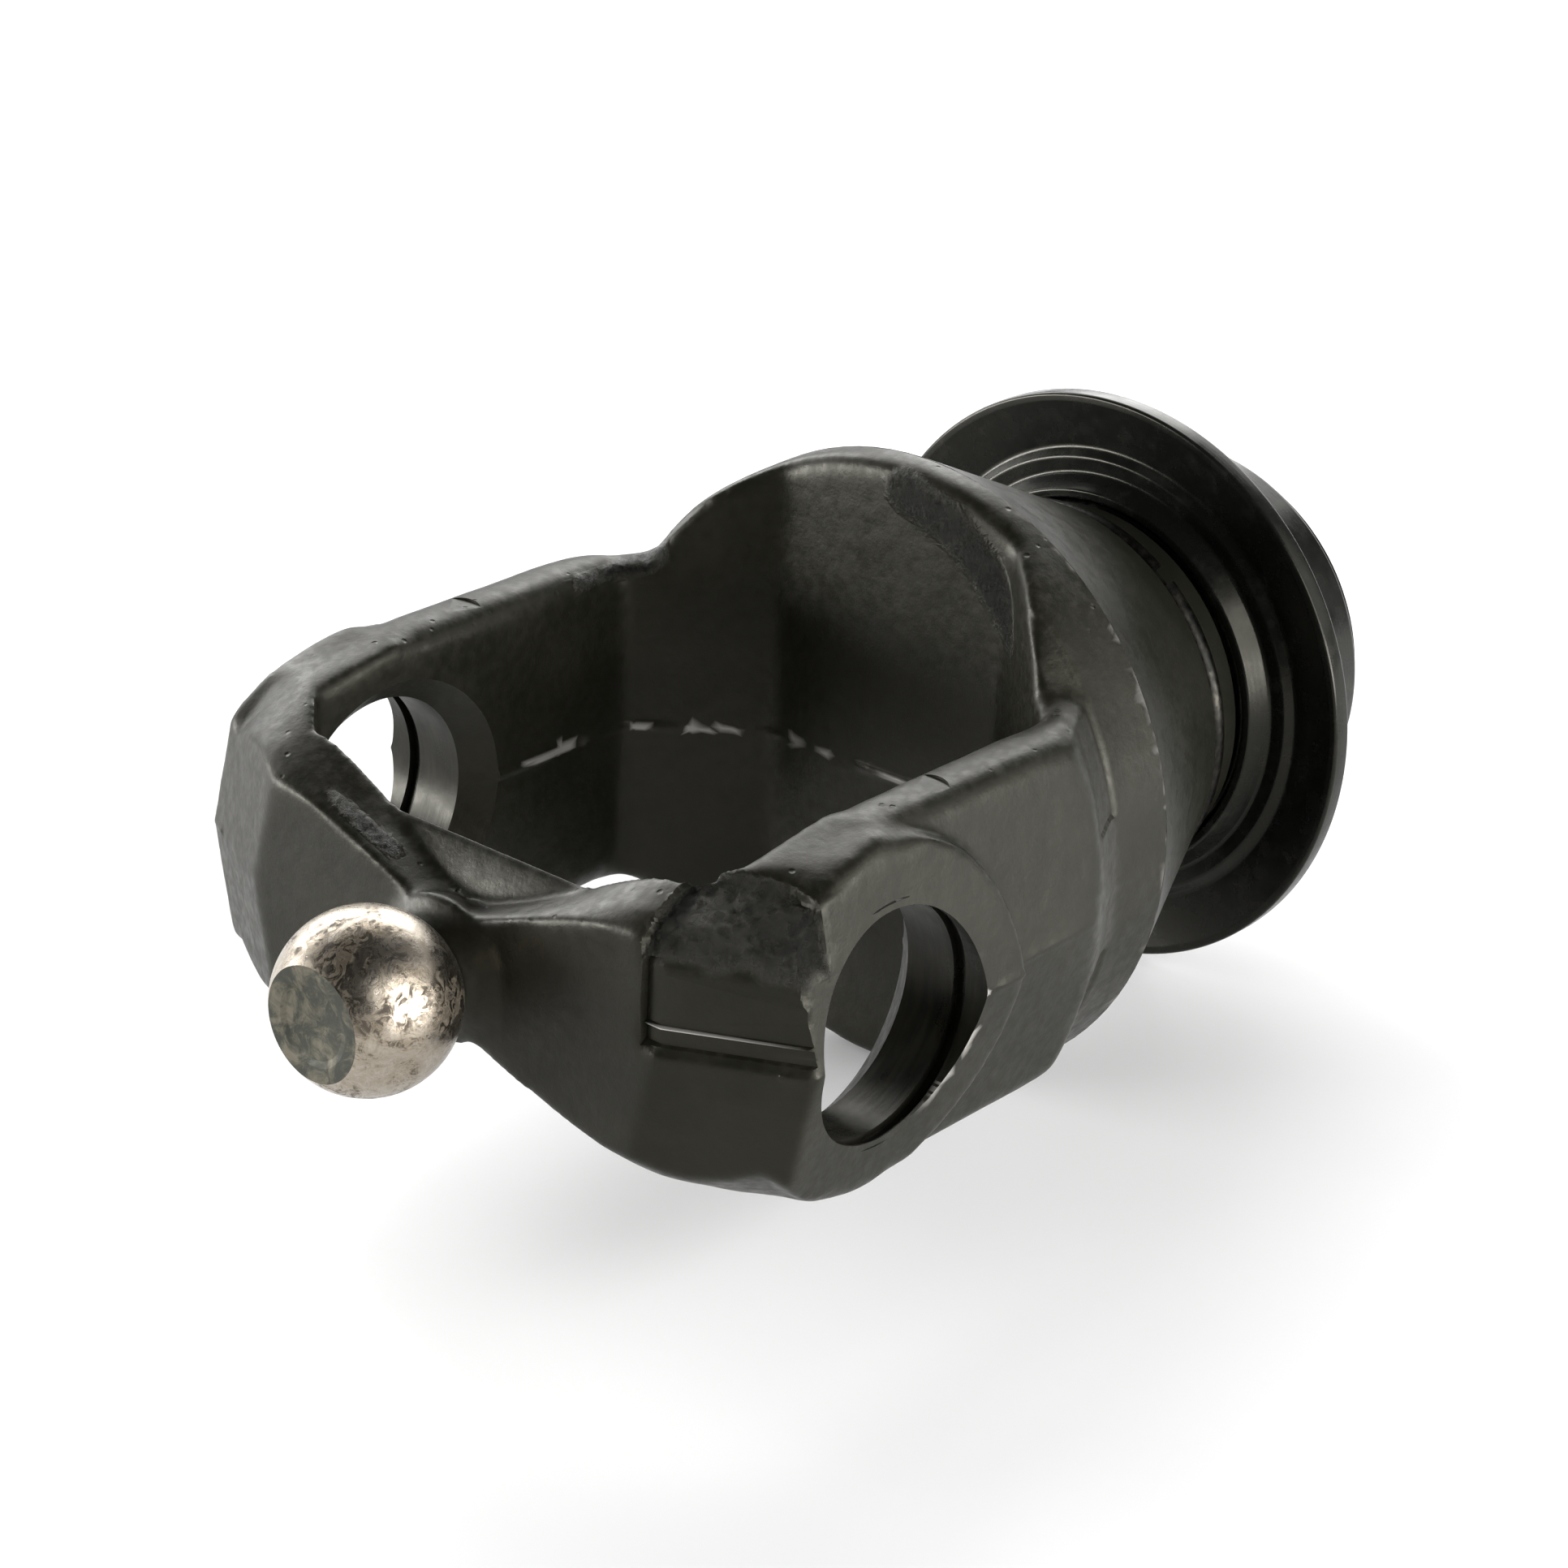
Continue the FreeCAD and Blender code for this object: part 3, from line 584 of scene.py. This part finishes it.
def bore_tool(side):
    """Cutter for one ear: bore, retaining-ring groove and countersink."""
    groove_start, groove_end = GROOVE_SPAN
    profile = [(30, 0), (30, 24.0), (WINDOW_HALF, BORE_SINK_RAD),
               (WINDOW_HALF + BORE_SINK_DEPTH, BORE_RAD), (groove_start, BORE_RAD),
               (groove_start, GROOVE_RAD), (groove_end, GROOVE_RAD), (groove_end, BORE_RAD),
               (70, BORE_RAD), (70, 0)]
    tool = lathe("bore_tool", profile, 256)
    tool.data.transform(Matrix.Rotation(math.radians(90 * side), 4, "Z"))
    recalc(tool)
    return tool


# ----------------------------------------------------------- ball and collar

# The ball's front flat, dished and ringed: mm behind the flat, radius, corner radius.
FLAT_RINGS = [(0.75, 0, 0), (0.72, 1.6, 0.6), (0.55, 3.4, 0.5), (0.42, 4.9, 0.5),
              (0.12, 5.8, 0.5), (0.05, 6.7, 0.3)]
# The collar's section from its nose over the dished flange to the sleeve and back through
# its pocket: x, radius, corner radius.
COLLAR_SECTION = [
    (107.5, 28.12, 0.25), (107.5, 29.4, 0.5), (110.6, 31.2, 0.7), (110.2, 33.6, 0.8),
    (111.3, 35.0, 1.0), (109.2, 42.3, 1.0), (109.2, 43.5, 0.5), (112.5, 43.5, 0.7),
    (113.6, 33.8, 2.0), (115.2, 30.5, 2.2), (134.0, 30.5, 1.1), (134.0, 25.46, 0.4),
    (131.2, 25.46, 0.0), (131.2, 27.35, 0.3), (123.89, 27.35, 0.4), (122.0, 25.46, 0.2),
    (118.5, 25.46, 0.2), (118.5, 28.12, 0.2),
]


def make_ball():
    """Centring ball on its neck, with a dished and ringed front flat."""
    low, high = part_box("centring_ball")
    front = low.x / MM
    half_flat = math.sqrt(BALL_RAD ** 2 - (BALL_X - front) ** 2)
    flat = [(front + back, radius) for back, radius, _ in FLAT_RINGS] + [(front, half_flat)]
    face = rounded(flat, [ring[2] for ring in FLAT_RINGS] + [0], 3)
    begin = math.asin(half_flat / BALL_RAD)
    finish = math.pi - math.asin((NECK_RAD + 0.1) / BALL_RAD)
    arc = []
    steps = 48
    for k in range(steps + 1):
        a = begin + (finish - begin) * k / steps
        arc.append((BALL_X - BALL_RAD * math.cos(a), BALL_RAD * math.sin(a)))
    tail = [(BALL_X + 11.6, NECK_RAD), (SEAT_X, NECK_RAD), (SEAT_X, SHANK_RAD),
            (high.x / MM, SHANK_RAD), (high.x / MM, 0)]
    return lathe("ball_with_neck", face[:-1] + arc + tail, 160)


def make_collar():
    """Release collar: dished flange, ball recess and rear sleeve."""
    profile = rounded([(x, radius) for x, radius, _ in COLLAR_SECTION],
                      [corner for _, _, corner in COLLAR_SECTION], 6, ring=True)
    return lathe("collar", profile, 224)


# ---------------------------------------------------------------- materials

class Surface:
    """A Principled material with short ways to add the usual nodes; lengths in mm.

    Colours are linear. Every method that adds a node returns its output socket.
    """

    def __init__(self, name, color, rough, metal=0.0):
        self.mat = bpy.data.materials.new(name)
        self.mat.use_nodes = True
        self.tree = self.mat.node_tree
        self.shader = self.tree.nodes["Principled BSDF"]
        self.shader.inputs["Base Color"].default_value = (*color, 1)
        self.shader.inputs["Roughness"].default_value = rough
        self.shader.inputs["Metallic"].default_value = metal
        if metal < 0.5:
            self.shader.inputs["IOR"].default_value = PAINT_IOR
            self.shader.inputs["Specular Tint"].default_value = (*PAINT_TINT, 1)
        self.place = self.tree.nodes.new("ShaderNodeTexCoord").outputs["Object"]

    def node(self, kind, **values):
        node = self.tree.nodes.new(kind)
        for key, value in values.items():
            if key in node.inputs:
                node.inputs[key].default_value = value
            else:
                setattr(node, key, value)
        return node

    def wire(self, source, target):
        self.tree.links.new(source, target)

    def noise(self, cell, detail=4.0, rough=0.55, distort=0.0, squash=(1, 1, 1)):
        """Noise whose main features are cell mm across."""
        node = self.node("ShaderNodeTexNoise", Scale=1000.0 / cell, Detail=detail,
                         Roughness=rough, Distortion=distort)
        place = self.place
        if squash != (1, 1, 1):
            move = self.node("ShaderNodeMapping")
            move.inputs["Scale"].default_value = squash
            self.wire(self.place, move.inputs["Vector"])
            place = move.outputs["Vector"]
        self.wire(place, node.inputs["Vector"])
        return node.outputs["Fac"]

    def cells(self, cell):
        """Distance to the nearest of scattered points, cell mm apart."""
        node = self.node("ShaderNodeTexVoronoi", Scale=1000.0 / cell)
        self.wire(self.place, node.inputs["Vector"])
        return node.outputs["Distance"]

    def band(self, value, low, high, to_low=0.0, to_high=1.0):
        """Smooth step from to_low at low to to_high at high."""
        node = self.node("ShaderNodeMapRange", clamp=True, interpolation_type="SMOOTHSTEP")
        for slot, number in zip(("From Min", "From Max", "To Min", "To Max"),
                                (low, high, to_low, to_high)):
            node.inputs[slot].default_value = number
        self.wire(value, node.inputs["Value"])
        return node.outputs["Result"]

    def sums(self, operation, one, two):
        """Arithmetic on two values; each is a number or a socket."""
        node = self.node("ShaderNodeMath", operation=operation)
        for slot, value in enumerate((one, two)):
            if isinstance(value, (int, float)):
                node.inputs[slot].default_value = value
            else:
                self.wire(value, node.inputs[slot])
        return node.outputs["Value"]

    def blend(self, amount, one, two):
        """Colour mix; each colour is a tuple or a socket."""
        node = self.node("ShaderNodeMix", data_type="RGBA")
        self.wire(amount, node.inputs["Factor"])
        for slot, value in ((6, one), (7, two)):
            if isinstance(value, tuple):
                node.inputs[slot].default_value = (*value, 1)
            else:
                self.wire(value, node.inputs[slot])
        return node.outputs[2]

    def attribute(self, name):
        """A mask stored on the mesh."""
        node = self.node("ShaderNodeAttribute", attribute_name=name)
        return node.outputs["Fac"]

    def bump(self, layers):
        """Bumps from (height socket, depth in mm) pairs, chained."""
        last = None
        for value, depth in layers:
            node = self.node("ShaderNodeBump", Strength=1.0, Distance=depth * MM)
            self.wire(value, node.inputs["Height"])
            if last:
                self.wire(last, node.inputs["Normal"])
            last = node.outputs["Normal"]
        self.wire(last, self.shader.inputs["Normal"])

    def set_color(self, socket):
        self.wire(socket, self.shader.inputs["Base Color"])

    def set_rough(self, socket):
        self.wire(socket, self.shader.inputs["Roughness"])

    def set_metal(self, socket):
        self.wire(socket, self.shader.inputs["Metallic"])


def upward(surface):
    """1 where the surface faces up, 0 on its sides."""
    geometry = surface.node("ShaderNodeNewGeometry")
    split = surface.node("ShaderNodeSeparateXYZ")
    surface.wire(geometry.outputs["Normal"], split.inputs["Vector"])
    return surface.band(split.outputs["Z"], 0.35, 0.9)


def turning_marks(surface, pitch):
    """Fine rings round the X axis, as a lathe tool leaves them."""
    split = surface.node("ShaderNodeSeparateXYZ")
    surface.wire(surface.place, split.inputs["Vector"])
    wobble = surface.sums("MULTIPLY", surface.noise(7, 2), 0.9 * MM)
    along = surface.sums("ADD", split.outputs["X"], wobble)
    turns = surface.sums("MULTIPLY", along, 2 * math.pi / (pitch * MM))
    return surface.sums("SINE", turns, 0)


def forged_paint():
    """Satin black paint with an olive cast on forged skin, ground strips and bare chips."""
    s = Surface("forged_paint", (0.016, 0.0165, 0.0135), 0.4)
    broad = s.noise(14, 3)
    fine = s.noise(1.6, 5)
    grain = s.noise(0.45, 3)
    ground = s.attribute("ground")
    bare = s.attribute("bare")
    olive = s.blend(s.band(broad, 0.35, 0.65), (0.0060, 0.0059, 0.0038), (0.0090, 0.0087, 0.0060))
    dusty = s.blend(s.sums("MULTIPLY", upward(s), s.band(fine, 0.45, 0.75, 0, 0.55)), olive,
                    (0.021, 0.020, 0.0155))
    glossy = s.blend(ground, dusty, (0.007, 0.007, 0.0063))
    s.set_color(s.blend(bare, glossy, (0.62, 0.6, 0.56)))
    rough = s.band(fine, 0.3, 0.7, 0.34, 0.47)
    rough = s.sums("SUBTRACT", rough, s.sums("MULTIPLY", ground, 0.16))
    s.set_rough(rough)
    s.set_metal(bare)
    pit = s.band(s.cells(2.6), 0.05, 0.2)
    pit_zone = s.band(s.noise(9, 2), 0.52, 0.6)
    pit_zone = s.sums("MULTIPLY", pit_zone, upward(s))
    pits = s.sums("SUBTRACT", 1.0, s.sums("MULTIPLY", s.sums("SUBTRACT", 1.0, pit), pit_zone))
    sparkle = s.sums("MULTIPLY", s.noise(0.8, 6, 0.7), ground)
    s.bump([(broad, 0.25), (fine, 0.06), (grain, 0.018), (pits, 0.14), (sparkle, 0.8)])
    return s.mat


def turned_paint():
    """The same paint over fine turning marks."""
    s = Surface("turned_paint", (0.016, 0.0165, 0.014), 0.36)
    fine = s.noise(2.2, 4)
    s.set_color(s.blend(s.band(s.noise(18, 3), 0.35, 0.65), (0.0070, 0.0070, 0.0050),
                        (0.0100, 0.0098, 0.0074)))
    s.set_rough(s.band(fine, 0.3, 0.7, 0.31, 0.4))
    s.bump([(turning_marks(s, 0.55), 0.0012), (fine, 0.03), (s.noise(0.5, 3), 0.008)])
    return s.mat


def bore_paint():
    """Thin dark paint with streaks round the machined bores."""
    s = Surface("bore_paint", (0.011, 0.0112, 0.0095), 0.34)
    streak = s.noise(2.4, 4, squash=(0.35, 2.2, 0.35))
    s.set_color(s.blend(s.band(streak, 0.35, 0.7), (0.0035, 0.0035, 0.0026),
                        (0.0095, 0.0091, 0.0068)))
    s.set_rough(s.band(s.noise(5, 4), 0.3, 0.7, 0.26, 0.42))
    s.bump([(streak, 0.03), (s.noise(0.9, 4), 0.012)])
    return s.mat


def collar_black():
    """Glossy black finish of the turned collar, with a little dust."""
    s = Surface("collar_black", (0.008, 0.0082, 0.0072), 0.3)
    dust = s.band(s.noise(5, 6, 0.65), 0.5, 0.8)
    s.set_color(s.blend(dust, (0.0048, 0.005, 0.0044), (0.015, 0.0146, 0.0124)))
    s.set_rough(s.band(s.noise(3, 4), 0.3, 0.7, 0.2, 0.3))
    s.bump([(turning_marks(s, 0.7), 0.0012), (s.noise(1.2, 4), 0.008), (s.noise(0.4, 3), 0.004)])
    return s.mat


def ball_steel():
    """Bare bright steel with a brown film, crawling stains and dark specks."""
    s = Surface("ball_steel", (0.6, 0.56, 0.5), 0.24, 1.0)
    blotch = s.noise(9, 6, 0.7, 1.2)
    crawl = s.noise(2.4, 8, 0.75, 1.6)
    speck = s.noise(0.9, 5, 0.7)
    stain = s.sums("MULTIPLY", s.band(blotch, 0.49, 0.6), s.band(crawl, 0.47, 0.56))
    film = s.blend(s.band(blotch, 0.35, 0.7), (0.46, 0.415, 0.355), (0.27, 0.225, 0.165))
    tinted = s.blend(s.band(crawl, 0.35, 0.75, 0, 0.6), film, (0.2, 0.165, 0.115))
    dirty = s.blend(stain, tinted, (0.05, 0.038, 0.025))
    s.set_color(s.blend(s.band(speck, 0.63, 0.7, 0, 0.8), dirty, (0.02, 0.018, 0.015)))
    s.set_rough(s.sums("ADD", s.band(crawl, 0.3, 0.7, 0.2, 0.36), s.sums("MULTIPLY", stain, 0.3)))
    s.set_metal(s.sums("SUBTRACT", 1.0, s.sums("MULTIPLY", stain, 0.75)))
    s.bump([(crawl, 0.05), (s.noise(6, 3), 0.12), (speck, 0.01)])
    return s.mat


def ball_front():
    """Dark dished front flat of the ball."""
    s = Surface("ball_front", (0.05, 0.052, 0.045), 0.5, 0.3)
    blotch = s.noise(3.4, 7, 0.72, 0.8)
    s.set_color(s.blend(s.band(blotch, 0.42, 0.66), (0.03, 0.032, 0.027), (0.11, 0.1, 0.075)))
    s.set_rough(s.band(s.noise(1.5, 4), 0.3, 0.7, 0.42, 0.6))
    s.bump([(blotch, 0.08), (s.noise(0.6, 4), 0.015)])
    return s.mat


def dark_steel():
    """Blackened steel of the wire, ring and washer pieces."""
    s = Surface("dark_steel", (0.09, 0.085, 0.075), 0.35, 0.9)
    patina = s.noise(2.5, 6, 0.7)
    s.set_color(s.blend(s.band(patina, 0.45, 0.7), (0.008, 0.0078, 0.0066),
                        (0.03, 0.0275, 0.022)))
    s.set_rough(s.band(s.noise(1.2, 4), 0.3, 0.7, 0.28, 0.5))
    s.bump([(patina, 0.02)])
    return s.mat


# ------------------------------------------------------------------ assembly

def give(obj, *materials):
    """The object's materials, in slot order."""
    obj.data.materials.clear()
    for material in materials:
        obj.data.materials.append(material)


def face_centres(mesh):
    centres = np.zeros(len(mesh.polygons) * 3, np.float32)
    mesh.polygons.foreach_get("center", centres)
    return centres.reshape(-1, 3) / MM


def store_mask(mesh, name, values):
    """Keeps one number per vertex for a material to read."""
    layer = mesh.attributes.new(name, "FLOAT", "POINT")
    layer.data.foreach_set("value", values.astype(np.float32))


LEDGE_Z = 3.85                         # height of the ledge in the notch
SLOT_FORGED, SLOT_TURNED, SLOT_BORED = 0, 1, 2


def chip_mask(points):
    """Where paint is worn or chipped to bare metal, 0 to 1."""
    x, y, z = points.T
    lip = np.hypot(np.hypot(x, z) - BORE_RAD, np.abs(y) - EAR_FACE + FACE_SLOPE * np.abs(z))
    lip = (1 - step01(lip, 0.2, 0.6)) * step01(lattice_noise(points, 1.6, 21), 0.35, 0.6) * 0.5
    lip = lip * step01(x, 6, 12)
    corner = near_line(points, NOTCH_CORNER, 1.5)
    corner = corner * step01(lattice_noise(points, 1.3, 22), 0.1, 0.3)
    front = FACET_END + FRONT_SLOPE * np.maximum(-y - FACET_HALF, 0)
    ledge = (np.abs(z - LEDGE_Z) < 0.45) & (y < 0.1 - NOTCH_SIDE)
    ledge = ledge & (x < front + 1.1) & (x > front - 0.5)
    ledge = ledge * step01(lattice_noise(points, 2.1, 23), -0.25, 0.15)
    seam = (np.abs(z) < 0.4) & (np.abs(y) < 38) & (x > 25) & (x < WINDOW_REAR)
    seam = seam * step01(lattice_noise(points, 2.6, 24), 0.0, 0.3)
    edge = (np.abs(x - DISC_REAR) < 0.14) * step01(lattice_noise(points, 1.1, 25), -0.2, 0.5)
    return np.maximum.reduce([lip, corner, 0.6 * ledge, 0.4 * seam, 0.12 * edge])


def finish_yoke(yoke):
    """Masks for ground and chipped paint, and a material for each kind of surface."""
    mesh = yoke.data
    points = read_points(mesh)
    store_mask(mesh, "ground", ground_mask(points))
    store_mask(mesh, "bare", chip_mask(points))
    x, y, z = face_centres(mesh).T
    from_axis = np.hypot(x, z)
    inside_ear = np.abs(y) < EAR_FACE - FACE_SLOPE * np.abs(z) - 0.4
    bored = (from_axis < GROOVE_RAD + 0.2) & (np.abs(y) > WINDOW_HALF) & inside_ear
    slot = np.full(len(mesh.polygons), SLOT_FORGED, np.int32)
    slot[x > DISC_REAR - 0.01] = SLOT_TURNED
    slot[bored] = SLOT_BORED
    give(yoke, forged_paint(), turned_paint(), bore_paint())
    mesh.polygons.foreach_set("material_index", slot)


def finish_ball(ball, paint):
    """Bare steel, a dark front flat, and the yoke's paint where the neck meets its seat."""
    x, y, z = face_centres(ball.data).T
    slot = np.zeros(len(ball.data.polygons), np.int32)
    slot[(x < -50.1) & (np.hypot(y, z) < 7.8)] = 1
    slot[x > -31.6] = 2
    give(ball, ball_steel(), ball_front(), paint)
    ball.data.polygons.foreach_set("material_index", slot)


yoke = make_yoke()
finish_yoke(yoke)
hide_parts("yoke")
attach(yoke, "yoke")

ball = make_ball()
smooth_by_angle(ball, 35)
finish_ball(ball, yoke.data.materials[SLOT_FORGED])
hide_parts("centring_ball")
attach(ball, "yoke")

collar = make_collar()
smooth_by_angle(collar, 40)
give(collar, collar_black())
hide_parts("release_collar")
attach(collar, "collar")

ring_finish = dark_steel()
for name in ("return_spring", "stop_ring", "thrust_washer", "retaining_ring"):
    give(nodes[name], ring_finish)
lock_finish = ball_steel()
for name in ("lock_ball_1", "lock_ball_2", "lock_ball_3"):
    give(nodes[name], lock_finish)
